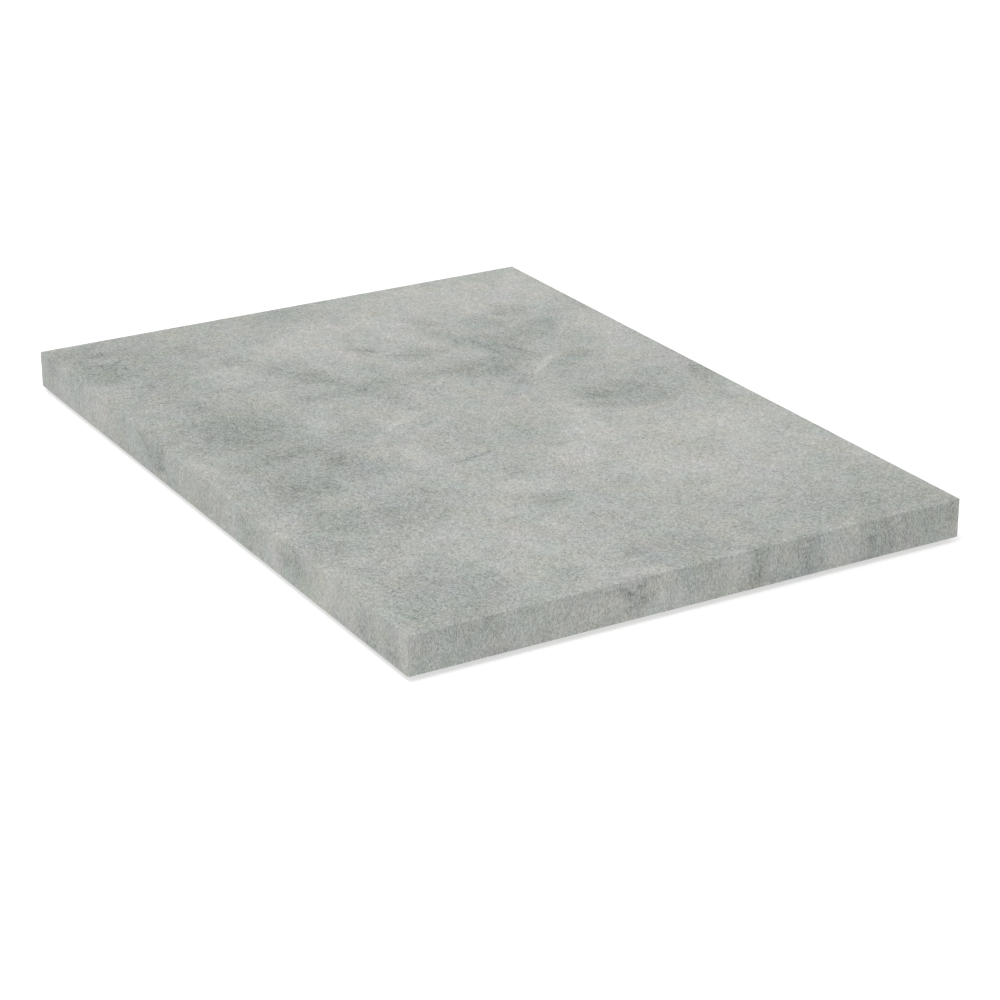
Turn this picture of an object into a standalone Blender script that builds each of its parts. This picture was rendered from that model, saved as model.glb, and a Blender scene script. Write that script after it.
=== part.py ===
# A granite work slab for leathercraft: a flat sawn stone that stands on four thin
# rubber pads, each held to the underside by an adhesive disc.
#
# Metres, +Z up. X runs along the slab's length and Y across its width. The origin
# is on the bench, under the middle of the slab.

import math

import bmesh
import bpy

# the stone
slab_length = 0.420  # along X
slab_width = 0.300  # along Y
slab_thickness = 0.020
arris = 0.0005  # width and height of the eased edge, all round the stone

# the rubber pads it stands on
foot_diameter = 0.020
foot_height = 0.0016
foot_toe_round = 0.0006  # radius of the edge that meets the bench
foot_draft = 0.0004  # how much wider the rim is than the toe, on the radius
foot_setback = 0.018  # clear distance from the slab's side to the rim of a pad

# the adhesive discs between the pads and the stone
adhesive_margin = 0.0012  # rubber left showing round the disc
adhesive_thickness = 0.0003

# clearances
bond_gap = 0.0003  # between a disc and what it is bonded to

# smoothness of the round pieces
round_steps = 48  # flats in a full turn
toe_steps = 4  # flats in the toe's quarter round
sharp_angle = math.radians(35)

# heights above the bench, worked out from the bench upwards
adhesive_base = foot_height + bond_gap
slab_base = adhesive_base + adhesive_thickness + bond_gap


def remove_everything():
    """Empty the scene, the startup cube, light and camera among it."""
    for scene_object in list(bpy.data.objects):
        bpy.data.objects.remove(scene_object, do_unlink=True)


def make_collection(name):
    """A new collection in the scene."""
    collection = bpy.data.collections.new(name)
    bpy.context.scene.collection.children.link(collection)
    return collection


def make_material(name, colour, roughness, metallic=0.0):
    """A Principled material of one colour."""
    material = bpy.data.materials.new(name)
    material.use_nodes = True
    shader = material.node_tree.nodes["Principled BSDF"]
    shader.inputs["Base Color"].default_value = (*colour, 1.0)
    shader.inputs["Roughness"].default_value = roughness
    shader.inputs["Metallic"].default_value = metallic
    material.diffuse_color = (*colour, 1.0)
    return material


def add_object(name, mesh, material, collection):
    """Put a mesh in the collection as a named object with its own material."""
    mesh.materials.append(material)
    piece = bpy.data.objects.new(name, mesh)
    collection.objects.link(piece)
    return piece


def shade_round(mesh):
    """Smooth shading, with the real corners kept sharp."""
    mesh.shade_smooth()
    mesh.set_sharp_from_angle(angle=sharp_angle)


def make_slab(collection):
    """The stone: a flat block whose edges are eased by a narrow chamfer."""
    mesh = bpy.data.meshes.new("stone_slab")
    shape = bmesh.new()
    bmesh.ops.create_cube(shape, size=1.0)
    bmesh.ops.scale(shape, vec=(slab_length, slab_width, slab_thickness), verts=shape.verts)
    shape.to_mesh(mesh)
    shape.free()

    granite = make_material("granite", (0.42, 0.44, 0.41), 0.55)
    slab = add_object("stone_slab", mesh, granite, collection)
    slab.location = (0.0, 0.0, slab_base + slab_thickness / 2)
    eased_edge = slab.modifiers.new("eased_edge", "BEVEL")
    eased_edge.width = arris
    eased_edge.segments = 1
    eased_edge.limit_method = "ANGLE"
    return slab


def foot_profile():
    """Half section of a pad, from the middle of its top, down its side, to the middle of
    the toe: a drafted side that turns into the flat toe on a quarter round."""
    rim_radius = foot_diameter / 2
    toe_radius = rim_radius - foot_draft - foot_toe_round
    outline = [(0.0, foot_height), (rim_radius, foot_height)]
    for step in range(toe_steps + 1):
        turn = math.pi / 2 * step / toe_steps
        across = toe_radius + foot_toe_round * math.cos(turn)
        up = foot_toe_round * (1 - math.sin(turn))
        outline.append((across, up))
    outline.append((0.0, 0.0))
    return outline


def make_foot_mesh():
    """The half section of a pad, which a Screw modifier turns into the pad."""
    mesh = bpy.data.meshes.new("foot")
    section = bmesh.new()
    points = [section.verts.new((across, 0.0, up)) for across, up in foot_profile()]
    for start, end in zip(points, points[1:]):
        section.edges.new((start, end))
    section.to_mesh(mesh)
    section.free()
    return mesh


def turn_full_circle(piece):
    """Turn a half section about the piece's own Z axis."""
    turned = piece.modifiers.new("turned", "SCREW")
    turned.axis = "Z"
    turned.angle = math.tau
    turned.steps = round_steps
    turned.render_steps = round_steps
    turned.use_merge_vertices = True
    turned.merge_threshold = 0.00001
    turned.use_smooth_shade = True


def make_foot(name, place, rubber, collection):
    """One rubber pad, standing on the bench at place."""
    foot = add_object(name, make_foot_mesh(), rubber, collection)
    foot.location = (*place, 0.0)
    turn_full_circle(foot)
    return foot


def make_adhesive_disc(name, place, adhesive, collection):
    """One adhesive disc, on the middle of a pad."""
    radius = foot_diameter / 2 - adhesive_margin
    mesh = bpy.data.meshes.new(name)
    shape = bmesh.new()
    bmesh.ops.create_cone(
        shape,
        cap_ends=True,
        segments=round_steps,
        radius1=radius,
        radius2=radius,
        depth=adhesive_thickness,
    )
    shape.to_mesh(mesh)
    shape.free()
    shade_round(mesh)
    disc = add_object(name, mesh, adhesive, collection)
    disc.location = (*place, adhesive_base + adhesive_thickness / 2)
    return disc


def foot_places():
    """Name and centre of each pad: the four corners of the slab, set in from its sides.
    Front is -Y and right is +X."""
    from_side = foot_setback + foot_diameter / 2
    along = slab_length / 2 - from_side
    across = slab_width / 2 - from_side
    return {
        "front_left": (-along, -across),
        "front_right": (along, -across),
        "back_left": (-along, across),
        "back_right": (along, across),
    }


def main():
    remove_everything()
    collection = make_collection("granite_slab")
    make_slab(collection)
    rubber = make_material("rubber", (0.035, 0.035, 0.037), 0.85)
    adhesive = make_material("adhesive", (0.62, 0.60, 0.54), 0.7)
    for corner, place in foot_places().items():
        make_foot("foot_" + corner, place, rubber, collection)
        make_adhesive_disc("adhesive_disc_" + corner, place, adhesive, collection)


main()
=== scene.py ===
import math
import random

import bmesh
import bpy
from mathutils import Euler, Matrix, Vector


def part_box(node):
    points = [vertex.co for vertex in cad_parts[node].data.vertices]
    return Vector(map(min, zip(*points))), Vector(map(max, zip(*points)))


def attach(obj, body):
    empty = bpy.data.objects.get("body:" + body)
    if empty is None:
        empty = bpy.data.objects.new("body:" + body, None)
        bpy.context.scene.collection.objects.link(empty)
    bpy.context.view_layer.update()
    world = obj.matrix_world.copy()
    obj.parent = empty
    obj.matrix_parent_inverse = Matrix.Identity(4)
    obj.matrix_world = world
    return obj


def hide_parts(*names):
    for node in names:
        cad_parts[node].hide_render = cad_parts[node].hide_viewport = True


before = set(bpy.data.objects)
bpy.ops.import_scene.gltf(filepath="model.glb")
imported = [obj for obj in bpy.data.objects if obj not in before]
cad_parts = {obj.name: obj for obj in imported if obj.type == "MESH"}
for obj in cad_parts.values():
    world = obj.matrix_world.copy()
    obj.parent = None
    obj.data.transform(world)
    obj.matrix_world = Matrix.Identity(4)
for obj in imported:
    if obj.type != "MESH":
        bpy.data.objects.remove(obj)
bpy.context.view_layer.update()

# A granite slab on four rubber pads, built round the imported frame. Front is -Y, right is +X.
# Everything is in metres, so half a millimetre is written 0.5 * mm.
mm = 0.001
slabLow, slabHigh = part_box("stone_slab")
slabMiddle = (slabLow + slabHigh) / 2
slabSize = slabHigh - slabLow
corners = ("front_left", "front_right", "back_left", "back_right")
print("frame loaded")


def deselectAll():
    if bpy.context.mode != "OBJECT":
        bpy.ops.object.mode_set(mode="OBJECT")
    bpy.ops.object.select_all(action="DESELECT")


def selectOnly(piece):
    deselectAll()
    piece.select_set(True)
    bpy.context.view_layer.objects.active = piece


def startEdit(piece, selectMode):
    selectOnly(piece)
    bpy.ops.object.mode_set(mode="EDIT")
    bpy.ops.mesh.select_mode(type=selectMode)
    bpy.ops.mesh.select_all(action="DESELECT")


def pick(piece, kind, test):
    # in edit mode, selects only the faces, edges or verts that pass the test
    bpy.ops.mesh.select_all(action="DESELECT")
    cage = bmesh.from_edit_mesh(piece.data)
    for part in getattr(cage, kind):
        if test(part):
            part.select_set(True)
    bmesh.update_edit_mesh(piece.data)


def applyModifier(piece, kind, **settings):
    selectOnly(piece)
    modifier = piece.modifiers.new(kind.lower(), kind)
    for setting, value in settings.items():
        setattr(modifier, setting, value)
    bpy.ops.object.modifier_apply(modifier=modifier.name)


def finishPiece(piece, name, smoothAngle=30):
    # the object ends at the origin, unturned, with its place in its mesh
    selectOnly(piece)
    piece.name = name
    piece.data.name = name
    bpy.ops.object.transform_apply(location=True, rotation=True, scale=True)
    bpy.ops.object.shade_smooth_by_angle(angle=math.radians(smoothAngle))


# Camera

cameraSetup = {
    "aim": (0.1001, -0.0399),  # point on the working face, from its middle
    "azimuth": 59.7,  # degrees round from the front
    "elevation": 22.62,
    "roll": -0.1,
    "distance": 1.318,
    "lens": 99.6,
}


def addCamera(setup):
    aim = Vector((*setup["aim"], slabHigh.z))
    turned = Euler((math.radians(90 - setup["elevation"]), 0, math.radians(setup["azimuth"])))
    facing = turned.to_matrix() @ Matrix.Rotation(math.radians(setup["roll"]), 3, "Z")
    bpy.ops.object.camera_add(location=aim + facing @ Vector((0, 0, setup["distance"])))
    camera = bpy.context.object
    camera.name = "studioCamera"
    camera.rotation_euler = facing.to_euler()
    camera.data.lens = setup["lens"]
    bpy.context.scene.camera = camera


addCamera(cameraSetup)
print("camera placed")


# Studio: a white floor that glows a little, which keeps its shadows faint, an even white sky
# and one large soft light above the front

studio = {
    "floorSide": 12.0,
    "floorColour": (0.55, 0.55, 0.55),
    "floorGlow": 0.5,
    "skyStrength": 0.8,
    "keyPlace": (0.2, -0.75, 2.3),
    "keySide": 1.6,
    "keyPower": 34,
}


def addFloor():
    bpy.ops.mesh.primitive_plane_add(size=studio["floorSide"])
    floor = bpy.context.object
    floor.name = "studioFloor"
    paint = bpy.data.materials.new("studioFloor")
    paint.use_nodes = True
    shader = paint.node_tree.nodes["Principled BSDF"]
    shader.inputs["Base Color"].default_value = (*studio["floorColour"], 1)
    shader.inputs["Emission Color"].default_value = (1, 1, 1, 1)
    shader.inputs["Emission Strength"].default_value = studio["floorGlow"]
    shader.inputs["Roughness"].default_value = 0.9
    shader.inputs["Specular IOR Level"].default_value = 0.0
    floor.data.materials.append(paint)


def addLights():
    world = bpy.data.worlds.new("studioSky")
    world.use_nodes = True
    sky = world.node_tree.nodes["Background"]
    sky.inputs["Color"].default_value = (1, 1, 1, 1)
    sky.inputs["Strength"].default_value = studio["skyStrength"]
    bpy.context.scene.world = world
    place = Vector(studio["keyPlace"])
    bpy.ops.object.light_add(type="AREA", location=place)
    key = bpy.context.object
    key.name = "keyLight"
    key.data.shape = "SQUARE"
    key.data.size = studio["keySide"]
    key.data.energy = studio["keyPower"]
    key.rotation_euler = (-place).to_track_quat("-Z", "Y").to_euler()


addFloor()
addLights()
bpy.context.scene.view_settings.view_transform = "Standard"
bpy.context.scene.view_settings.look = "None"
print("studio lit")


# Nodes: a value for an input may be a number, a colour, or the output that feeds it

def feed(tree, socket, value):
    if isinstance(value, bpy.types.NodeSocket):
        tree.links.new(value, socket)
    else:
        socket.default_value = value


def addNode(tree, kind, sockets=None, **settings):
    made = tree.nodes.new(kind)
    for setting, value in settings.items():
        setattr(made, setting, value)
    for socket, value in (sockets or {}).items():
        feed(tree, made.inputs[socket], value)
    return made


def maths(tree, operation, first, second=0.0, third=0.0):
    sockets = {0: first, 1: second, 2: third}
    return addNode(tree, "ShaderNodeMath", sockets, operation=operation).outputs[0]


def vectorMaths(tree, operation, first, second=(0, 0, 0), third=(0, 0, 0)):
    sockets = {0: first, 1: second, 2: third}
    return addNode(tree, "ShaderNodeVectorMath", sockets, operation=operation).outputs[0]


def noise(tree, vector, size, detail=2.0, roughness=0.5, distortion=0.0):
    # size is the width of the widest features
    sockets = {
        "Vector": vector,
        "Scale": 1 / size,
        "Detail": detail,
        "Roughness": roughness,
        "Distortion": distortion,
    }
    return addNode(tree, "ShaderNodeTexNoise", sockets)


def mapRange(tree, value, low, high, toLow=0.0, toHigh=1.0, smooth=False):
    sockets = {"Value": value, "From Min": low, "From Max": high, "To Min": toLow, "To Max": toHigh}
    kind = "SMOOTHSTEP" if smooth else "LINEAR"
    return addNode(tree, "ShaderNodeMapRange", sockets, interpolation_type=kind).outputs[0]


def mixColour(tree, factor, first, second, blend="MIX"):
    mixer = addNode(tree, "ShaderNodeMix", data_type="RGBA", blend_type=blend)
    feed(tree, mixer.inputs[0], factor)
    feed(tree, mixer.inputs[6], first)
    feed(tree, mixer.inputs[7], second)
    return mixer.outputs[2]


def scaleColour(tree, colour, light):
    sockets = {0: colour, "Scale": light}
    return addNode(tree, "ShaderNodeVectorMath", sockets, operation="SCALE").outputs[0]


def newGroup(name, inputs, outputs):
    # an input is given by its starting value, an output by the kind of its socket
    group = bpy.data.node_groups.new(name, "ShaderNodeTree")
    for label, value in inputs.items():
        kind = "NodeSocketVector" if isinstance(value, tuple) else "NodeSocketFloat"
        socket = group.interface.new_socket(label, in_out="INPUT", socket_type=kind)
        socket.default_value = value
    for label, kind in outputs.items():
        group.interface.new_socket(label, in_out="OUTPUT", socket_type="NodeSocket" + kind)
    start = group.nodes.new("NodeGroupInput").outputs
    end = group.nodes.new("NodeGroupOutput").inputs
    return group, start, end


def useGroup(tree, group, sockets):
    made = tree.nodes.new("ShaderNodeGroup")
    made.node_tree = group
    for socket, value in sockets.items():
        feed(tree, made.inputs[socket], value)
    return made.outputs


def newMaterial(name):
    made = bpy.data.materials.new(name)
    made.use_nodes = True
    tree = made.node_tree
    here = addNode(tree, "ShaderNodeTexCoord").outputs["Object"]
    return made, tree, tree.nodes["Principled BSDF"], here


# Stone: the pattern is in the solid, so it runs on over an edge

stoneLook = {
    "darkColour": (0.206, 0.231, 0.212, 1),
    "midColour": (0.324, 0.336, 0.315, 1),
    "paleColour": (0.467, 0.460, 0.437, 1),
    "toneReach": 3,  # the pale colour's tone, with the dark one at minus it and the middle one at 0
    "tint": 0.32,  # how much red and blue stray by themselves
    "tintSize": 22 * mm,
    "driftSize": 60 * mm,
    "drift": 0.35,  # most that the drifts add to the tone or take from it
    "driftSpan": (0.3, 0.7),  # what the noise has to reach for that
    "mottleSize": 12 * mm,
    "mottle": 0.8,
    "mottleSpan": (0.25, 0.75),
    # the clouds' outlines
    "cloudDepth": 26,  # half height in millimetres of a cloud on the working face
    "sideCloudDepth": 5,  # how far a cloud on a side reaches into the stone
    "cloudFade": (1.7, 0.05),  # squared distance in half sizes where it ends and where it is full
    "drawnSize": 28 * mm,
    "drawn": 12 * mm,  # how far outlines are drawn out
    "fraySize": 7 * mm,
    "fray": 14 * mm,
    "streakFray": 3 * mm,
    # the grain
    "grainContrast": 0.124,  # change of brightness for one step of grain
    "grainByTone": (1.20, 0.88),  # how much grain at tone -2 and at tone 2
    "crystalSize": 1.1 * mm,
    "crystal": 1.0,
    "groundSize": 0.55 * mm,
    "ground": 2.0,
    "powderSize": 1.3 * mm,
    "powder": 1.05,
    "powderSpan": (0.3, 0.7),
    "fleckSize": 2.2 * mm,
    "fleck": -2.3,  # flecks and threads are dark, and most of them lie in dark clouds
    "fleckLevel": (0.38, 0.27),  # noise where a fleck begins and where it is full
    "fleckTones": (1, -1.5),  # tones where flecks are faint and where they are full
    "fleckFaintest": 0.3,
    "threadSize": 6 * mm,
    "thread": -2.6,
    "threadWidth": 0.03,
    "threadTones": (-0.2, -1.6),
}

# clouds on the working face: middle x and y, half length and half width in millimetres,
# turn in degrees, tone (dark below 0)
faceClouds = [
    # broad ones
    (-20, -112, 120, 42, 0, -0.55),
    (85, -118, 50, 36, 0, -0.25),
    (-180, 98, 46, 70, 0, 0.95),
    (84, 88, 64, 74, 0, 0.75),
    (-150, 15, 55, 34, 0, 0.35),
    (158, -50, 56, 34, 0, 0.3),
    (-30, 12, 34, 24, 0, 0.45),
    (-45, 130, 30, 26, 0, 0.45),
    (195, 60, 26, 90, 0, -0.35),
    # dark, left half
    (-140, 106, 9, 11, 0, -1.1),
    (-127, 82, 14, 11, 0, -0.6),
    (-105, 103, 12, 20, 20, -0.9),
    (-90, 71, 28, 13, 8, -1.1),
    (-105, 57, 8, 9, 0, -0.5),
    (-147, 55, 12, 7, 35, -1.0),
    (-118, 50, 16, 10, 20, -0.8),
    (-112, 19, 8, 8, 0, -0.5),
    (-66, 48, 13, 25, 0, -1.1),
    (-48, 50, 17, 14, 0, -0.6),
    (-100, 28, 9, 17, 0, -0.8),
    (-123, 3, 11, 7, 30, -1.0),
    (-69, -12, 9, 58, 0, -0.5),
    (-72, -24, 7, 15, 0, -0.4),
    (-70, -50, 6, 12, 0, -0.5),
    (-104, -43, 34, 11, 28, -0.8),
    (-94, -37, 10, 8, 0, -0.6),
    (-144, -66, 9, 8, 0, -0.6),
    (-51, -18, 11, 13, 0, -0.7),
    (-197, -10, 11, 18, 0, -0.7),
    (-170, -80, 20, 10, 0, -0.4),
    (-165, -114, 52, 20, 0, -0.6),
    (-160, -138, 20, 18, 0, -1.2),
    (-192, -138, 14, 20, 0, -1.0),
    (-90, -117, 12, 10, 0, -0.4),
    (-56, 104, 9, 15, 0, -0.8),
    (-49, 84, 8, 8, 0, -0.6),
    (-31, 84, 9, 11, 0, -0.6),
    # dark, middle
    (0, 145, 12, 10, 0, -1.1),
    (-13, 120, 8, 12, 0, -0.6),
    (9, 91, 24, 25, 0, -1.3),
    (-2, 76, 12, 8, 30, -0.6),
    (19, 34, 8, 7, 0, -0.3),
    (-10, -1, 7, 6, 0, -0.5),
    (20, -18, 18, 14, 0, -0.3),
    (46, -23, 6, 18, 8, -0.4),
    (73, -17, 6, 8, 0, -0.4),
    (-18, -54, 10, 11, 0, -0.5),
    (-46, -109, 34, 28, 0, -0.7),
    (-46, -112, 22, 10, 0, -0.5),
    (-3, -100, 10, 26, 0, -0.9),
    (22, -80, 20, 18, 0, -0.8),
    (18, -84, 9, 8, 0, -0.6),
    (35, -115, 20, 18, 0, -1.0),
    (12, -112, 7, 8, 0, -0.4),
    (37, -62, 14, 10, 0, -0.4),
    # dark, right half
    (88, -80, 30, 18, -40, -0.9),
    (85, -117, 18, 18, 0, -0.5),
    (113, -140, 16, 14, 0, -0.7),
    (143, -131, 9, 11, 0, -0.6),
    (184, -113, 36, 30, 0, -1.0),
    (107, 24, 8, 8, 0, -0.8),
    (111, -18, 10, 13, 15, -0.8),
    (190, 0, 20, 28, 0, -0.6),
    (184, -18, 8, 10, 0, -0.6),
    (181, -38, 6, 9, 0, -0.4),
    (31, 60, 7, 6, 0, -0.5),
    (152, -1, 11, 5, 0, -0.6),
    (190, -56, 9, 8, 0, -0.9),
    (125, -45, 8, 9, 0, -0.6),
    (193, 103, 17, 18, 0, -0.5),
    (185, 138, 20, 14, 0, -0.4),
    (196, 44, 10, 10, 0, -0.4),
    (98, 83, 8, 9, 0, -0.5),
    # pale
    (-165, 138, 40, 16, 0, 0.4),
    (-100, 138, 26, 16, 0, 1.0),
    (-135, -17, 40, 16, 0, 0.7),
    (-148, -38, 14, 22, 0, 0.6),
    (-140, 31, 34, 11, 18, 0.5),
    (-163, 6, 16, 12, 0, 0.4),
    (-122, -76, 18, 14, 0, 0.6),
    (-84, -74, 9, 9, 0, 0.7),
    (-55, 80, 20, 5, -52, 0.5),
    (-62, 130, 14, 7, 0, 0.4),
    (-33, -67, 12, 9, 0, 0.9),
    (-16, -32, 17, 9, -30, 0.7),
    (-15, -144, 18, 9, 0, 0.7),
    (-10, -129, 12, 6, 0, 0.6),
    (17, 54, 15, 8, 0, 0.7),
    (44, 45, 19, 13, -15, 0.7),
    (68, 24, 17, 13, -45, 0.65),
    (72, 115, 14, 20, 0, 0.6),
    (104, 56, 24, 14, 20, 0.5),
    (90, -18, 9, 15, 0, 0.8),
    (32, -45, 16, 7, 0, 0.9),
    (62, -104, 10, 12, 0, 0.5),
    (80, -144, 10, 9, 0, 0.6),
    (118, -80, 16, 8, -50, 0.5),
    (142, 147, 14, 6, 0, 0.7),
    (30, 147, 12, 6, 0, 0.6),
    (206, -26, 7, 10, 0, 0.7),
]

# narrow streaks on the working face, given as the clouds are
faceStreaks = [
    (45, -20, 14, 1.1, -77, -1.3),
    (74, -16, 7, 1.2, -80, -0.9),
    (-28, 24, 13, 0.9, 88, -0.6),
    (-38, 54, 9, 1.6, -48, -0.7),
    (-104, 17, 14, 1.4, 60, -0.9),
    (-121, 4, 10, 1.8, 48, -1.0),
    (-66, -30, 24, 1.6, 91, -0.4),
    (-97, 63, 17, 1.7, 12, -0.9),
    (-84, 76, 14, 1.7, 24, -0.8),
    (-106, 88, 12, 1.8, 75, -0.7),
    (-3, -99, 17, 1.9, 91, -0.9),
    (5, -114, 10, 1.7, 5, -0.8),
    (88, -76, 15, 1.6, -46, -0.6),
    (-108, -45, 22, 2.0, 29, -0.6),
    (-53, 77, 14, 2.4, -46, 1.5),
    (-14, -33, 12, 2.0, -60, 0.9),
    (107, -84, 25, 2.0, -50, 0.6),
    (-60, 20, 20, 2.2, -60, 0.5),
    (-100, 118, 15, 2.4, -40, 0.6),
    (18, -84, 7, 5, 0, -0.8),
    (38, -116, 7, 5, 0, -0.6),
    (20, 102, 9, 6, 30, -0.4),
]

# clouds that show on a side: middle along it and middle height above the underside, half
# length and half height in millimetres, tone
sideClouds = {
    "right": [
        (-33, 11, 11, 12, -1.1),
        (34, 12, 7, 20, -0.9),
        (60, 9, 12, 16, -0.6),
        (101, 5, 12, 10, -0.7),
        (113, 12, 10, 10, -0.5),
        (138, 10, 14, 16, -0.7),
        (20, 11, 7, 14, 0.9),
        (78, 10, 10, 14, 0.35),
        (-8, 10, 14, 14, 0.4),
        (-100, 9, 40, 14, 0.1),
        (-145, 10, 6, 14, -0.4),
    ],
    "front": [
        (-58, 11, 18, 13, -0.8),
        (53, 12, 13, 15, -0.9),
        (97, 9, 12, 12, -0.7),
        (171, 7, 11, 10, -0.6),
        (196, 8, 10, 11, -0.6),
        (34, 10, 7, 12, 0.6),
        (129, 11, 11, 12, 0.5),
        (-128, 10, 9, 12, 0.6),
        (-160, 10, 40, 14, 0.5),
        (208, 11, 5, 13, 0.6),
    ],
}

# small spots in those clouds, given the same way
sideSpots = {
    "right": [
        (-40, 15, 3, 2.5, -0.8),
        (-37, 12, 3, 2.5, -0.8),
        (-31, 15, 2.5, 2.5, -0.7),
        (-36, 5, 3, 2.5, -0.8),
        (-30, 8, 3, 3, -0.8),
        (-24, 11, 3, 3, -0.6),
        (33, 10, 4, 13, -0.6),
        (54, 16, 4, 3, -0.5),
        (97, 8, 4, 4, -0.6),
        (104, 17, 2.5, 2.5, -0.6),
        (144, 14, 3, 6, -0.5),
    ],
    "front": [
        (-70, 14, 3, 3, -0.6),
        (-62, 12, 4, 3, -0.7),
        (-51, 7, 5, 3, -0.8),
        (48, 14, 4, 3, -0.6),
        (56, 10, 5, 3, -0.6),
        (92, 11, 4, 4, -0.6),
        (169, 6, 4, 3, -0.7),
        (196, 4, 5, 2.5, -0.7),
    ],
}


def makeCloudGroup():
    # lays one soft cloud on the tone that comes in: Along, Across and Up point along its axes,
    # and each is one over the half size that way
    group, start, end = newGroup(
        "stoneCloud",
        {
            "Vector": (0, 0, 0),
            "Tone": 0.0,
            "Middle": (0, 0, 0),
            "Along": (1, 0, 0),
            "Across": (0, 1, 0),
            "Up": (0, 0, 1),
            "Strength": 0.0,
        },
        {"Tone": "Float"},
    )
    away = vectorMaths(group, "SUBTRACT", start["Vector"], start["Middle"])
    reach = 0.0
    for way in ("Along", "Across", "Up"):
        dot = addNode(group, "ShaderNodeVectorMath", {0: away, 1: start[way]}, operation="DOT_PRODUCT")
        reach = maths(group, "MULTIPLY_ADD", dot.outputs["Value"], dot.outputs["Value"], reach)
    mask = mapRange(group, reach, *stoneLook["cloudFade"], smooth=True)
    feed(group, end["Tone"], maths(group, "MULTIPLY_ADD", mask, start["Strength"], start["Tone"]))
    return group


def lyingClouds(clouds):
    # middle, half axes and tone of clouds on the working face, in millimetres
    for x, y, length, width, turn, tone in clouds:
        along = Matrix.Rotation(math.radians(turn), 3, "Z") @ Vector((1, 0, 0))
        across = Vector((-along.y, along.x, 0))
        up = Vector((0, 0, 1 / stoneLook["cloudDepth"]))
        yield Vector((x, y, slabHigh.z / mm)), (along / length, across / width, up), tone


def standingClouds(clouds):
    # the same for the clouds on the two sides
    bottom = slabLow.z / mm
    shallow = 1 / stoneLook["sideCloudDepth"]
    for y, z, length, tall, tone in clouds["right"]:
        axes = Vector((shallow, 0, 0)), Vector((0, 1 / length, 0)), Vector((0, 0, 1 / tall))
        yield Vector((slabHigh.x / mm, y, bottom + z)), axes, tone
    for x, z, length, tall, tone in clouds["front"]:
        axes = Vector((1 / length, 0, 0)), Vector((0, shallow, 0)), Vector((0, 0, 1 / tall))
        yield Vector((x, slabLow.y / mm, bottom + z)), axes, tone


def layClouds(group, cloud, vector, tone, clouds):
    for middle, (along, across, up), strength in clouds:
        sockets = {
            "Vector": vector,
            "Tone": tone,
            "Middle": middle * mm,
            "Along": along / mm,
            "Across": across / mm,
            "Up": up / mm,
            "Strength": strength,
        }
        tone = useGroup(group, cloud, sockets)["Tone"]
    return tone


def swing(tree, value, amount, low=0.0, high=1.0):
    # a value between low and high, turned into one between minus the amount and the amount
    return mapRange(tree, value, low, high, -amount, amount)


def drawOut(group, here):
    # the place as broad outlines, frayed outlines and narrow streaks see it
    look = stoneLook
    half = (0.5, 0.5, 0.5)
    wide = noise(group, here, look["drawnSize"]).outputs["Color"]
    fine = noise(group, here, look["fraySize"], detail=4.0, roughness=0.75).outputs["Color"]
    drawn = vectorMaths(group, "SUBTRACT", wide, half)
    drawn = vectorMaths(group, "MULTIPLY_ADD", drawn, (look["drawn"],) * 3, here)
    stray = vectorMaths(group, "SUBTRACT", fine, half)
    frayed = vectorMaths(group, "MULTIPLY_ADD", stray, (look["fray"],) * 3, drawn)
    nearLine = vectorMaths(group, "MULTIPLY_ADD", stray, (look["streakFray"],) * 3, here)
    return drawn, frayed, nearLine


def layTone(group, drawn, frayed, nearLine):
    # the clouds, then the drifts and the mottling between them and in them
    look = stoneLook
    cloud = makeCloudGroup()
    tone = layClouds(group, cloud, frayed, 0.0, lyingClouds(faceClouds))
    tone = layClouds(group, cloud, frayed, tone, standingClouds(sideClouds))
    tone = layClouds(group, cloud, nearLine, tone, lyingClouds(faceStreaks))
    tone = layClouds(group, cloud, nearLine, tone, standingClouds(sideSpots))
    drift = noise(group, drawn, look["driftSize"], detail=3.0, roughness=0.75).outputs["Fac"]
    mottle = noise(group, drawn, look["mottleSize"], detail=3.0, roughness=0.75).outputs["Fac"]
    tone = maths(group, "ADD", tone, swing(group, drift, look["drift"], *look["driftSpan"]))
    return maths(group, "ADD", tone, swing(group, mottle, look["mottle"], *look["mottleSpan"]))


def colourTone(group, tone, drawn):
    # the tone's colour, a little pinker, greener or bluer from place to place
    look = stoneLook
    reach = look["toneReach"]
    darkness = mapRange(group, tone, 0, -reach)
    colour = mixColour(group, darkness, look["midColour"], look["darkColour"])
    colour = mixColour(group, mapRange(group, tone, 0, reach), colour, look["paleColour"])
    stain = noise(group, drawn, look["tintSize"], detail=5.0, roughness=0.8).outputs["Color"]
    stain = vectorMaths(group, "SUBTRACT", stain, (0.5, 0.5, 0.5))
    tint = (look["tint"], 0, look["tint"])
    stain = vectorMaths(group, "MULTIPLY_ADD", stain, tint, (1, 1, 1))
    return vectorMaths(group, "MULTIPLY", colour, stain)


def layGrain(group, spot, amount):
    # crystals, each of its own shade, in a finer ground, and the flecks between them
    look = stoneLook
    powder = noise(group, spot, look["powderSize"], roughness=0.7).outputs["Fac"]
    grain = swing(group, powder, look["powder"], *look["powderSpan"])
    for name in ("crystal", "ground"):
        sockets = {"Vector": spot, "Scale": 1 / look[name + "Size"]}
        cells = addNode(group, "ShaderNodeTexVoronoi", sockets)
        shade = addNode(group, "ShaderNodeSeparateColor", {0: cells.outputs["Color"]}).outputs[0]
        grain = maths(group, "ADD", grain, swing(group, shade, look[name]))
    grain = maths(group, "MULTIPLY", grain, amount)
    fleck = noise(group, spot, look["fleckSize"], detail=2.0).outputs["Fac"]
    return grain, mapRange(group, fleck, *look["fleckLevel"])


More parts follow.
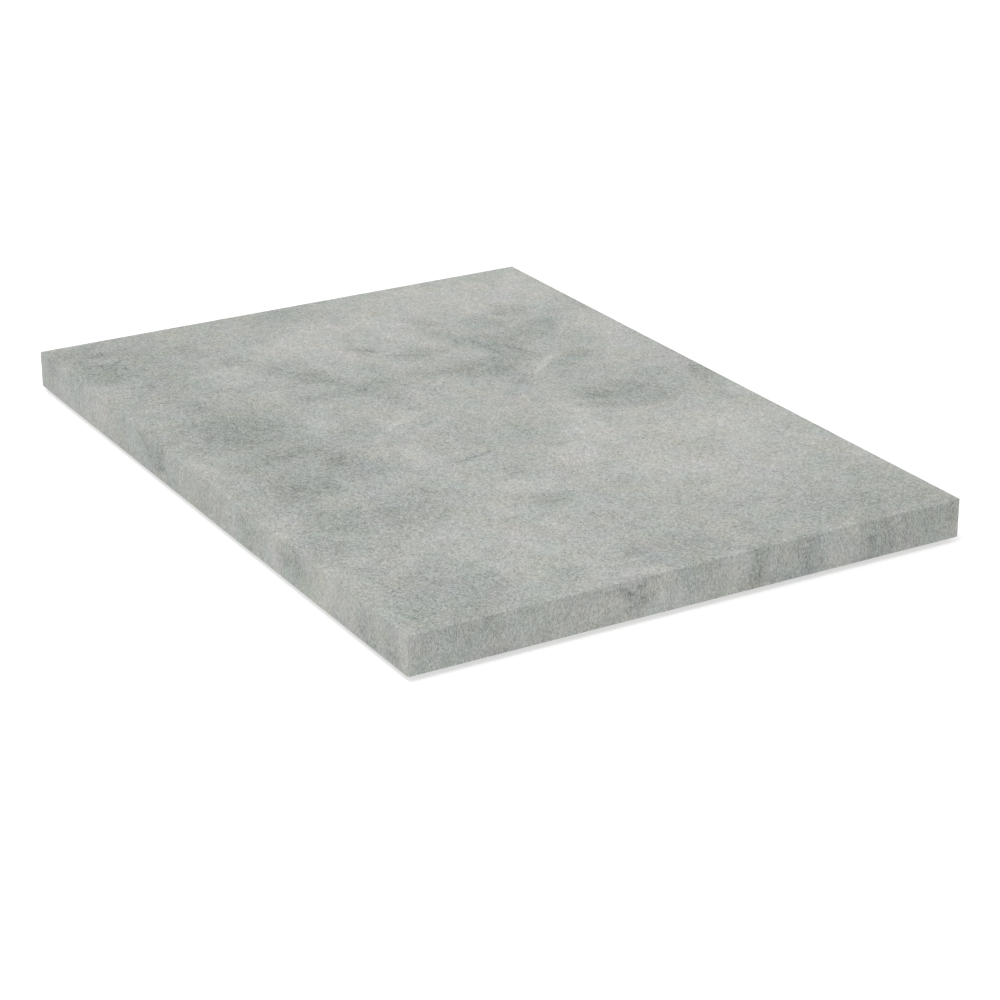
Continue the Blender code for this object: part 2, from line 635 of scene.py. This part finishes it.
def grainForColour(group, spot, grain, fleck, tone):
    # the colour takes more of the grain in the dark clouds, and threads that the relief lacks
    look = stoneLook
    grain = maths(group, "MULTIPLY", grain, mapRange(group, tone, -2, 2, *look["grainByTone"]))
    seen = mapRange(group, tone, *look["fleckTones"], look["fleckFaintest"], 1)
    fleck = maths(group, "MULTIPLY", fleck, seen)
    grain = maths(group, "MULTIPLY_ADD", fleck, look["fleck"], grain)
    place = noise(group, spot, look["threadSize"], detail=3.0, roughness=0.6).outputs["Fac"]
    away = maths(group, "ABSOLUTE", maths(group, "SUBTRACT", place, 0.5))
    line = mapRange(group, away, look["threadWidth"], 0.0)
    thread = maths(group, "MULTIPLY", line, mapRange(group, tone, *look["threadTones"]))
    return maths(group, "MULTIPLY_ADD", thread, look["thread"], grain)


def makeStoneGroup():
    group, start, end = newGroup(
        "stoneBody",
        {"Vector": (0, 0, 0), "Grain Vector": (0, 0, 0), "Grain Amount": 1.0},
        {"Color": "Color", "Relief": "Float"},
    )
    look = stoneLook
    drawn, frayed, nearLine = drawOut(group, start["Vector"])
    tone = layTone(group, drawn, frayed, nearLine)
    colour = colourTone(group, tone, drawn)
    spot = start["Grain Vector"]
    grain, fleck = layGrain(group, spot, start["Grain Amount"])
    feed(group, end["Relief"], maths(group, "MULTIPLY_ADD", fleck, look["fleck"], grain))
    grain = grainForColour(group, spot, grain, fleck, tone)
    light = maths(group, "MULTIPLY_ADD", grain, look["grainContrast"], 1.0)
    feed(group, end["Color"], scaleColour(group, colour, light))
    return group


stoneBody = makeStoneGroup()
print("stone pattern laid")


# Marks that the tools and the years leave, shared by the materials below

marks = {
    "wearBreakSize": 4 * mm,  # patches that break up a worn edge
    "crackSize": 40 * mm,  # spacing of the hairlines
    "crackWidth": 0.004,
    "crackBreakSize": 30 * mm,
    "crackBreak": (0.55, 0.62),  # noise where a hairline ends and where it is whole
    "strokePatchSize": 35 * mm,  # patches where the saw marked more or less
    "faintestStroke": 0.25,
    "smearSize": 6 * mm,
    "smear": 0.6,  # how much dust a smear holds, where a speck holds 1
    "speckSize": 0.5 * mm,
}


def makeEdgeWearGroup():
    # 1 on the slab's edges, falling to 0 at the width, and broken up by noise
    group, start, end = newGroup(
        "edgeWear",
        {"Vector": (0, 0, 0), "Width": 1 * mm, "Breakup": 1 * mm},
        {"Mask": "Float"},
    )
    away = vectorMaths(group, "SUBTRACT", start["Vector"], tuple(slabMiddle))
    away = vectorMaths(group, "ABSOLUTE", away)
    under = vectorMaths(group, "SUBTRACT", tuple(slabSize / 2), away)
    x, y, z = addNode(group, "ShaderNodeSeparateXYZ", {0: under}).outputs
    nearer = maths(group, "MINIMUM", x, y)
    farther = maths(group, "MAXIMUM", x, y)
    toEdge = maths(group, "MAXIMUM", nearer, maths(group, "MINIMUM", farther, z))
    ragged = noise(group, start["Vector"], marks["wearBreakSize"], detail=3.0, roughness=0.7)
    ragged = maths(group, "SUBTRACT", ragged.outputs["Fac"], 0.5)
    toEdge = maths(group, "MULTIPLY_ADD", ragged, start["Breakup"], toEdge)
    feed(group, end["Mask"], mapRange(group, toEdge, start["Width"], 0.0, smooth=True))
    return group


def makeHairlineGroup():
    # thin lines along the middle value of a noise, broken up by another
    group, start, end = newGroup(
        "hairlines",
        {"Vector": (0, 0, 0), "Size": marks["crackSize"], "Width": marks["crackWidth"]},
        {"Mask": "Float"},
    )
    scale = maths(group, "DIVIDE", 1.0, start["Size"])
    sockets = {"Vector": start["Vector"], "Scale": scale, "Detail": 4.0, "Roughness": 0.55}
    field = addNode(group, "ShaderNodeTexNoise", sockets).outputs["Fac"]
    away = maths(group, "ABSOLUTE", maths(group, "SUBTRACT", field, 0.5))
    line = mapRange(group, away, start["Width"], 0.0)
    broken = noise(group, start["Vector"], marks["crackBreakSize"], detail=2.0).outputs["Fac"]
    whole = mapRange(group, broken, *marks["crackBreak"])
    feed(group, end["Mask"], maths(group, "MULTIPLY", line, whole))
    return group


def makeSawMarkGroup():
    # the shallow arcs of a large disc saw: rings about a middle far off the stone
    group, start, end = newGroup(
        "sawMarks",
        {"Vector": (0, 0, 0), "Middle": (0, 0, 0), "Pitch": 3 * mm},
        {"Height": "Float"},
    )
    away = vectorMaths(group, "SUBTRACT", start["Vector"], start["Middle"])
    radius = addNode(group, "ShaderNodeVectorMath", {0: away}, operation="LENGTH").outputs["Value"]
    turns = maths(group, "DIVIDE", radius, start["Pitch"])
    sockets = {"W": turns, "Scale": 1.0, "Detail": 3.0}
    strokes = addNode(group, "ShaderNodeTexNoise", sockets, noise_dimensions="1D")
    patchy = noise(group, start["Vector"], marks["strokePatchSize"], detail=2.0).outputs["Fac"]
    patchy = mapRange(group, patchy, 0.35, 0.65, marks["faintestStroke"], 1.0)
    stroke = maths(group, "SUBTRACT", strokes.outputs["Fac"], 0.5)
    feed(group, end["Height"], maths(group, "MULTIPLY", stroke, patchy))
    return group


def makeDustGroup():
    # fine dust that gathers in specks and smears
    group, start, end = newGroup(
        "dustFilm",
        {"Vector": (0, 0, 0), "Amount": 0.5},
        {"Mask": "Float"},
    )
    smear = noise(group, start["Vector"], marks["smearSize"], detail=4.0, roughness=0.6)
    speck = noise(group, start["Vector"], marks["speckSize"], detail=1.0).outputs["Fac"]
    film = mapRange(group, smear.outputs["Fac"], 0.42, 0.7)
    film = maths(group, "MULTIPLY", film, marks["smear"])
    film = maths(group, "ADD", film, mapRange(group, speck, 0.64, 0.72))
    feed(group, end["Mask"], maths(group, "MULTIPLY", film, start["Amount"]))
    return group


edgeWear = makeEdgeWearGroup()
hairlines = makeHairlineGroup()
sawMarks = makeSawMarkGroup()
dustFilm = makeDustGroup()


def brighten(tree, colour, mask, gain):
    # where the mask is 1 the colour is multiplied by the gain
    return scaleColour(tree, colour, mapRange(tree, mask, 0, 1, 1, gain))


def addBump(tree, shader, height, depth, strength=1.0):
    sockets = {"Height": height, "Distance": depth, "Strength": strength}
    bump = addNode(tree, "ShaderNodeBump", sockets)
    feed(tree, shader.inputs["Normal"], bump.outputs[0])


stoneFinish = {
    "wornEdge": 1.04,  # brightness of the eased edge
    "wornWidth": 1.1 * mm,
    "wornRoughness": 0.12,  # how much rougher the eased edge is
    "hairline": 0.72,  # brightness of a hairline
    "honedRoughness": (0.52, 0.66),  # of the darkest and of the palest grain
    "honedDepth": 0.01 * mm,  # depth of the relief
    "sawn": 1.095,  # how much paler a sawn side is than the honed face
    "sawnGrain": 0.96,
    "sawnStretch": (1.9, 1.9, 0.75),  # draws the grain out downwards
    "sawnRoughness": (0.62, 0.76),
    "sawnDepth": 0.02 * mm,
    "underGrain": 0.8,
    "underRoughness": (0.72, 0.84),
    "underDepth": 0.04 * mm,
    "sawMiddle": (0.9, -1.4, 0.0),  # middle of the saw's arcs under the slab
    "sawPitch": 2.4 * mm,
    "sawStroke": 1.3,  # brightness of the high strokes that the saw left
    "sawSpan": 0.14,  # stroke height, either way, that counts as all of it
    "sawDepth": 24.0,  # depth of the strokes, in steps of grain
    "dust": 0.5,
    "dustColour": (0.52, 0.51, 0.48, 1),
    "chipGrain": 1.2,
    "chipPale": 1.14,  # brightness of the palest crystals in a chip
    "chipRoughness": (0.8, 0.92),
    "chipDepth": 0.06 * mm,
}


def wornMask(tree, here):
    return useGroup(tree, edgeWear, {"Vector": here, "Width": stoneFinish["wornWidth"]})["Mask"]


def stoneColours(tree, here, grainVector, grainAmount):
    # the body of the stone with its hairlines and worn edges, as every face shows it
    sockets = {"Vector": here, "Grain Vector": grainVector, "Grain Amount": grainAmount}
    body = useGroup(tree, stoneBody, sockets)
    crack = useGroup(tree, hairlines, {"Vector": here})["Mask"]
    colour = brighten(tree, body["Color"], crack, stoneFinish["hairline"])
    colour = brighten(tree, colour, wornMask(tree, here), stoneFinish["wornEdge"])
    return colour, body["Relief"]


def grainRange(tree, grain, low=0.0, high=1.0):
    # low where the grain is darkest, high where it is palest
    return mapRange(tree, grain, -2, 2, low, high)


def makeHonedFace():
    look = stoneFinish
    made, tree, shader, here = newMaterial("honedFace")
    colour, grain = stoneColours(tree, here, here, 1.0)
    feed(tree, shader.inputs["Base Color"], colour)
    roughness = grainRange(tree, grain, *look["honedRoughness"])
    worn = wornMask(tree, here)
    roughness = maths(tree, "MULTIPLY_ADD", worn, look["wornRoughness"], roughness)
    feed(tree, shader.inputs["Roughness"], roughness)
    shader.inputs["Specular IOR Level"].default_value = 0.3
    addBump(tree, shader, grain, look["honedDepth"], 0.5)
    return made


def makeSawnSide():
    look = stoneFinish
    made, tree, shader, here = newMaterial("sawnSide")
    drawnDown = vectorMaths(tree, "MULTIPLY", here, look["sawnStretch"])
    colour, grain = stoneColours(tree, here, drawnDown, look["sawnGrain"])
    feed(tree, shader.inputs["Base Color"], scaleColour(tree, colour, look["sawn"]))
    feed(tree, shader.inputs["Roughness"], grainRange(tree, grain, *look["sawnRoughness"]))
    shader.inputs["Specular IOR Level"].default_value = 0.25
    addBump(tree, shader, grain, look["sawnDepth"], 0.5)
    return made


def makeSawnUnderside():
    look = stoneFinish
    made, tree, shader, here = newMaterial("sawnUnderside")
    colour, grain = stoneColours(tree, here, here, look["underGrain"])
    sockets = {"Vector": here, "Middle": look["sawMiddle"], "Pitch": look["sawPitch"]}
    strokes = useGroup(tree, sawMarks, sockets)["Height"]
    dust = useGroup(tree, dustFilm, {"Vector": here, "Amount": look["dust"]})["Mask"]
    high = mapRange(tree, strokes, -look["sawSpan"], look["sawSpan"])
    colour = brighten(tree, colour, high, look["sawStroke"])
    feed(tree, shader.inputs["Base Color"], mixColour(tree, dust, colour, look["dustColour"]))
    feed(tree, shader.inputs["Roughness"], grainRange(tree, grain, *look["underRoughness"]))
    shader.inputs["Specular IOR Level"].default_value = 0.2
    height = maths(tree, "MULTIPLY_ADD", strokes, look["sawDepth"], grain)
    addBump(tree, shader, height, look["underDepth"], 0.7)
    return made


def makeChippedStone():
    look = stoneFinish
    made, tree, shader, here = newMaterial("chippedStone")
    colour, grain = stoneColours(tree, here, here, look["chipGrain"])
    colour = brighten(tree, colour, grainRange(tree, grain), look["chipPale"])
    feed(tree, shader.inputs["Base Color"], colour)
    feed(tree, shader.inputs["Roughness"], grainRange(tree, grain, *look["chipRoughness"]))
    shader.inputs["Specular IOR Level"].default_value = 0.2
    addBump(tree, shader, grain, look["chipDepth"], 0.8)
    return made


# The slab: sawn square, its edges eased by hand, with the small chips of use along them

slabShape = {
    "arris": 0.5 * mm,  # width of the eased edge
    "arrisSteps": 3,
    "bigFace": 0.001,  # the top, the underside and the sides have more area than this
    "border": 4 * mm,  # strip of fine faces inside the edges of each big face
    "cuts": (100, 72, 5),  # cuts across the strips along x, y and z
    "wander": 0.14 * mm,  # how far the eased edge strays inwards
    "wanderSize": 11 * mm,
    "chipSpacing": 30 * mm,
    "chipSize": (0.3 * mm, 1.1 * mm),
    "chipStretch": (1.0, 1.9),  # length of a chip along its edge, in its own radius
    "chipStray": 0.3,  # how far a chip may be from its even place, in spacings
    "chipRough": 0.16,  # how uneven a chip is, in its own radius
    "chipBite": 0.6,  # how far off the edge a chip's middle is, in its own radius
    "seed": 11,
}


def runsAlong(edge, axis):
    along = edge.verts[1].co - edge.verts[0].co
    return abs(along[axis]) > 0.999 * along.length


def edgesOver(position, depth):
    # how many pairs of the slab's sides the point is close to
    away = position - slabMiddle
    return sum(abs(away[axis]) > slabSize[axis] / 2 - depth for axis in range(3))


def openBigFaces(slab):
    # each big face keeps a border of fine faces, and its middle is taken out for now
    shape = slabShape
    bpy.ops.mesh.select_mode(type="FACE")
    pick(slab, "faces", lambda face: face.calc_area() > shape["bigFace"])
    bpy.ops.mesh.inset(thickness=shape["border"], use_individual=True)
    bpy.ops.mesh.delete(type="FACE")
    bpy.ops.mesh.select_mode(type="EDGE")
    tooShort = 2 * shape["border"]
    for axis, cuts in enumerate(shape["cuts"]):
        pick(slab, "edges", lambda edge: runsAlong(edge, axis) and edge.calc_length() > tooShort)
        bpy.ops.mesh.subdivide(number_cuts=cuts)
    deselectAll()


def letEdgesWander(slab):
    # the eased edge strays in a little, never out
    shape = slabShape
    depth = 1.05 * shape["arris"]
    eased = [vert.index for vert in slab.data.vertices if edgesOver(vert.co, depth) > 1]
    slab.vertex_groups.new(name="easedEdge").add(eased, 1.0, "REPLACE")
    waves = bpy.data.textures.new("edgeWander", "CLOUDS")
    waves.noise_scale = shape["wanderSize"]
    applyModifier(
        slab,
        "DISPLACE",
        texture=waves,
        texture_coords="LOCAL",
        vertex_group="easedEdge",
        mid_level=0.0,
        strength=-shape["wander"],
    )


def closeBigFaces(slab):
    startEdit(slab, "EDGE")
    bpy.ops.mesh.select_all(action="SELECT")
    bpy.ops.mesh.fill_holes(sides=0)
    bpy.ops.mesh.select_all(action="SELECT")
    bpy.ops.mesh.normals_make_consistent(inside=False)
    deselectAll()


def makeBlock():
    bpy.ops.mesh.primitive_cube_add(size=1, location=slabMiddle, scale=slabSize)
    slab = bpy.context.object
    bpy.ops.object.transform_apply(location=True, rotation=True, scale=True)
    startEdit(slab, "EDGE")
    bpy.ops.mesh.select_all(action="SELECT")
    bpy.ops.mesh.bevel(offset=slabShape["arris"], segments=slabShape["arrisSteps"])
    openBigFaces(slab)
    letEdgesWander(slab)
    closeBigFaces(slab)
    return slab


def makePebble():
    bpy.ops.mesh.primitive_ico_sphere_add(subdivisions=2, radius=1)
    pebble = bpy.context.object
    startEdit(pebble, "VERT")
    bpy.ops.mesh.select_all(action="SELECT")
    rough = slabShape["chipRough"]
    bpy.ops.transform.vertex_random(offset=rough, uniform=1.0, seed=slabShape["seed"])
    deselectAll()
    return pebble


def addChip(pebble, dice, axis, sides, step, count):
    # a copy of the pebble at one of the steps along one of the four edges that follow the axis,
    # with -1 or 1 in sides for each of the other two axes
    shape = slabShape
    low, high = shape["chipSize"]
    radius = low + (high - low) * dice.random() ** 3
    place = slabMiddle.copy()
    strayed = step + 0.5 + dice.uniform(-shape["chipStray"], shape["chipStray"])
    place[axis] += slabSize[axis] * (strayed / count - 0.5)
    off = shape["chipBite"] * radius * math.sqrt(0.5)
    others = [other for other in range(3) if other != axis]
    for other, side in zip(others, sides):
        place[other] += side * (slabSize[other] / 2 + off)
    size = Vector((radius, radius, radius))
    size[axis] *= dice.uniform(*shape["chipStretch"])
    spin = Matrix.Rotation(dice.uniform(0, math.tau), 4, "XYZ"[axis])
    chip = pebble.copy()
    chip.data = pebble.data.copy()
    chip.data.transform(Matrix.Translation(place) @ Matrix.Diagonal((*size, 1)) @ spin)
    bpy.context.collection.objects.link(chip)
    return chip


def makeChipTool():
    # rough pebbles all along the edges: what they overlap is broken off
    dice = random.Random(slabShape["seed"])
    pebble = makePebble()
    chips = []
    for axis in range(3):
        count = max(1, round(slabSize[axis] / slabShape["chipSpacing"]))
        for sides in ((-1, -1), (-1, 1), (1, -1), (1, 1)):
            chips += [addChip(pebble, dice, axis, sides, step, count) for step in range(count)]
    bpy.data.objects.remove(pebble, do_unlink=True)
    selectOnly(chips[0])
    for chip in chips:
        chip.select_set(True)
    bpy.ops.object.join()
    return chips[0]


honed, sawn, under, chipped = range(4)  # the slab's materials, in the order of their slots


def finishOf(face):
    if face.normal.z > 0.5:
        return honed
    if face.normal.z < -0.5:
        return under
    return sawn


def makeSlab():
    slab = makeBlock()
    finishes = [makeHonedFace(), makeSawnSide(), makeSawnUnderside(), makeChippedStone()]
    chips = makeChipTool()
    for piece in (slab, chips):
        for finish in finishes:
            piece.data.materials.append(finish)
    for face in slab.data.polygons:
        face.material_index = finishOf(face)
    for face in chips.data.polygons:
        face.material_index = chipped
    applyModifier(slab, "BOOLEAN", object=chips, operation="DIFFERENCE", solver="EXACT")
    bpy.data.objects.remove(chips, do_unlink=True)
    finishPiece(slab, "honedSlab", smoothAngle=12)
    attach(slab, "root")
    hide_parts("stone_slab")


makeSlab()
print("slab made")


# Rubber pads: drafted and round at the toe, with grip grooves in the face that meets the bench

padShape = {
    "sides": 96,
    "draft": 0.4 * mm,  # how much narrower the toe is than the rim
    "toeRound": 0.6 * mm,
    "toeSteps": 5,
    "rimRound": 0.15 * mm,
    "rimSteps": 2,
    "grooves": (3.0 * mm, 5.2 * mm, 7.4 * mm),  # middle radius of each groove
    "grooveWidth": 0.8 * mm,
    "grooveDepth": 0.35 * mm,
    "gateRadius": 1.1 * mm,  # dimple where the rubber was moulded
}


def pickToeRing(pad, middle, radius, width):
    # the flat faces of the toe whose middles lie in a ring
    def inRing(face):
        reach = (face.calc_center_median() - middle).xy.length
        return face.normal.z < -0.9 and abs(reach - radius) < width / 2
    pick(pad, "faces", inRing)


def makePadShape(low, high):
    shape = padShape
    radius = (high.x - low.x) / 2
    middle = (low + high) / 2
    bpy.ops.mesh.primitive_cylinder_add(
        vertices=shape["sides"],
        radius=radius,
        depth=high.z - low.z,
        location=middle,
    )
    pad = bpy.context.object
    bpy.ops.object.transform_apply(location=True, rotation=True, scale=True)
    startEdit(pad, "FACE")
    pick(pad, "faces", lambda face: face.normal.z < -0.9)
    narrower = 1 - shape["draft"] / radius
    bpy.ops.transform.resize(value=(narrower, narrower, 1), center_override=(middle.x, middle.y, low.z))
    bpy.ops.mesh.bevel(offset=shape["toeRound"], segments=shape["toeSteps"], affect="EDGES")
    pick(pad, "faces", lambda face: face.normal.z > 0.9)
    bpy.ops.mesh.bevel(offset=shape["rimRound"], segments=shape["rimSteps"], affect="EDGES")

    # rings are inset into the toe from its rim to its middle, and the groove rings sunk
    pick(pad, "faces", lambda face: face.normal.z < -0.99)
    edge = radius - shape["draft"] - shape["toeRound"]
    for ring in sorted(shape["grooves"], reverse=True):
        outside = ring + shape["grooveWidth"] / 2
        bpy.ops.mesh.inset(thickness=edge - outside)
        bpy.ops.mesh.inset(thickness=shape["grooveWidth"])
        edge = outside - shape["grooveWidth"]
    bpy.ops.mesh.inset(thickness=edge - shape["gateRadius"])
    bpy.ops.transform.translate(value=(0, 0, shape["grooveDepth"]))
    sink = {"value": (0, 0, shape["grooveDepth"])}
    for ring in shape["grooves"]:
        pickToeRing(pad, middle, ring, shape["grooveWidth"] / 2)
        bpy.ops.mesh.extrude_region_move(TRANSFORM_OT_translate=sink)
    deselectAll()
    return pad


padLook = {
    "rubber": (0.030, 0.030, 0.032, 1),
    "scuffed": (0.085, 0.084, 0.082, 1),
    "dustColour": (0.30, 0.29, 0.27, 1),
    "dust": 0.35,
    "skinSize": 0.35 * mm,
    "skinDepth": 0.03 * mm,
    "scuffSize": 3 * mm,
    "roughness": (0.62, 0.86),  # clean and scuffed
}


def makePadRubber():
    look = padLook
    made, tree, shader, here = newMaterial("padRubber")
    skin = noise(tree, here, look["skinSize"], detail=2.0, roughness=0.6).outputs["Fac"]
    scuff = noise(tree, here, look["scuffSize"], detail=5.0, roughness=0.65).outputs["Fac"]
    scuffed = mapRange(tree, scuff, 0.5, 0.68)
    colour = mixColour(tree, scuffed, look["rubber"], look["scuffed"])
    dust = useGroup(tree, dustFilm, {"Vector": here, "Amount": look["dust"]})["Mask"]
    feed(tree, shader.inputs["Base Color"], mixColour(tree, dust, colour, look["dustColour"]))
    feed(tree, shader.inputs["Roughness"], mapRange(tree, scuff, 0.35, 0.7, *look["roughness"]))
    shader.inputs["Specular IOR Level"].default_value = 0.4
    addBump(tree, shader, skin, look["skinDepth"], 0.6)
    return made


# Adhesive discs: thin foam tape between a pad and the stone

discShape = {
    "sides": 72,
    "gap": 0.05 * mm,  # left free between the disc and what it sticks to
    "rings": (1.2 * mm, 2.0 * mm),  # width of each ring of faces, from the rim inwards
    "layers": 2,  # cuts round the rim
    "rimWidth": 0.2 * mm,
    "squeeze": 0.22 * mm,  # how unevenly the soft rim bulges
    "squeezeSize": 2.5 * mm,
}

discLook = {
    "foam": (0.60, 0.575, 0.50, 1),
    # painted shade: the darker colour laid into the foam's pits, standing in for the shade in its pores
    "poreShade": (0.34, 0.31, 0.25, 1),
    "poreSize": 0.22 * mm,
    "poreDepth": 0.06 * mm,
    "stain": 0.8,  # brightness of a stained place
    "stainSize": 4 * mm,
    "dustColour": (0.30, 0.29, 0.27, 1),
    "dust": 0.4,
    "roughness": (0.66, 0.84),  # clean and stained
}


def squeezeRim(disc, middle, radius):
    # the soft rim is squeezed out unevenly
    shape = discShape
    inside = radius - shape["rimWidth"]
    rim = [vert.index for vert in disc.data.vertices if (vert.co - middle).xy.length > inside]
    disc.vertex_groups.new(name="rim").add(rim, 1.0, "REPLACE")
    lumps = bpy.data.textures.new("rimSqueeze", "CLOUDS")
    lumps.noise_scale = shape["squeezeSize"]
    for axis in "XY":
        applyModifier(
            disc,
            "DISPLACE",
            texture=lumps,
            texture_coords="LOCAL",
            vertex_group="rim",
            direction=axis,
            mid_level=0.5,
            strength=shape["squeeze"],
        )


def makeDiscShape(low, high, padTop):
    shape = discShape
    bottom = padTop + shape["gap"]
    top = slabLow.z - shape["gap"]
    radius = (high.x - low.x) / 2
    middle = Vector(((low.x + high.x) / 2, (low.y + high.y) / 2, (bottom + top) / 2))
    bpy.ops.mesh.primitive_cylinder_add(
        vertices=shape["sides"],
        radius=radius,
        depth=top - bottom,
        location=middle,
    )
    disc = bpy.context.object
    bpy.ops.object.transform_apply(location=True, rotation=True, scale=True)
    startEdit(disc, "FACE")
    pick(disc, "faces", lambda face: abs(face.normal.z) > 0.9)
    for width in shape["rings"]:
        bpy.ops.mesh.inset(thickness=width, use_individual=True)
    bpy.ops.mesh.select_mode(type="EDGE")
    pick(disc, "edges", lambda edge: runsAlong(edge, 2))
    bpy.ops.mesh.subdivide(number_cuts=shape["layers"])
    deselectAll()
    squeezeRim(disc, middle, radius)
    return disc


def makeDiscFoam():
    look = discLook
    made, tree, shader, here = newMaterial("padFoam")
    cells = addNode(tree, "ShaderNodeTexVoronoi", {"Vector": here, "Scale": 1 / look["poreSize"]})
    depth = cells.outputs["Distance"]
    stain = noise(tree, here, look["stainSize"], detail=4.0, roughness=0.6).outputs["Fac"]
    # the pits of the foam take the darker colour: painted shade in the pores
    colour = mixColour(tree, mapRange(tree, depth, 0.5, 0.05), look["foam"], look["poreShade"])
    colour = brighten(tree, colour, mapRange(tree, stain, 0.35, 0.7), look["stain"])
    dust = useGroup(tree, dustFilm, {"Vector": here, "Amount": look["dust"]})["Mask"]
    feed(tree, shader.inputs["Base Color"], mixColour(tree, dust, colour, look["dustColour"]))
    feed(tree, shader.inputs["Roughness"], mapRange(tree, stain, 0.3, 0.7, *look["roughness"]))
    shader.inputs["Specular IOR Level"].default_value = 0.3
    addBump(tree, shader, depth, look["poreDepth"], 0.7)
    return made


def copyTo(piece, offset):
    # a copy with its own mesh, moved over to another corner
    twin = piece.copy()
    twin.data = piece.data.copy()
    bpy.context.collection.objects.link(twin)
    selectOnly(twin)
    bpy.ops.transform.translate(value=offset)
    return twin


def makeFeet():
    rubber = makePadRubber()
    foam = makeDiscFoam()
    firstPadLow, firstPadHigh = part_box("foot_" + corners[0])
    firstDiscLow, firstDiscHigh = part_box("adhesive_disc_" + corners[0])
    firstPad = makePadShape(firstPadLow, firstPadHigh)
    firstDisc = makeDiscShape(firstDiscLow, firstDiscHigh, firstPadHigh.z)
    firstPad.data.materials.append(rubber)
    firstDisc.data.materials.append(foam)
    for corner in corners:
        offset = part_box("foot_" + corner)[0] - firstPadLow
        pad = firstPad if corner == corners[0] else copyTo(firstPad, offset)
        disc = firstDisc if corner == corners[0] else copyTo(firstDisc, offset)
        for piece, name, node, slot in (
            (pad, "rubberPad_", "foot_", "foot_rubber"),
            (disc, "foamDisc_", "adhesive_disc_", "adhesive"),
        ):
            finishPiece(piece, name + corner, smoothAngle=35)
            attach(piece, "root")
            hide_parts(node + corner)


makeFeet()
print("pads and discs made")
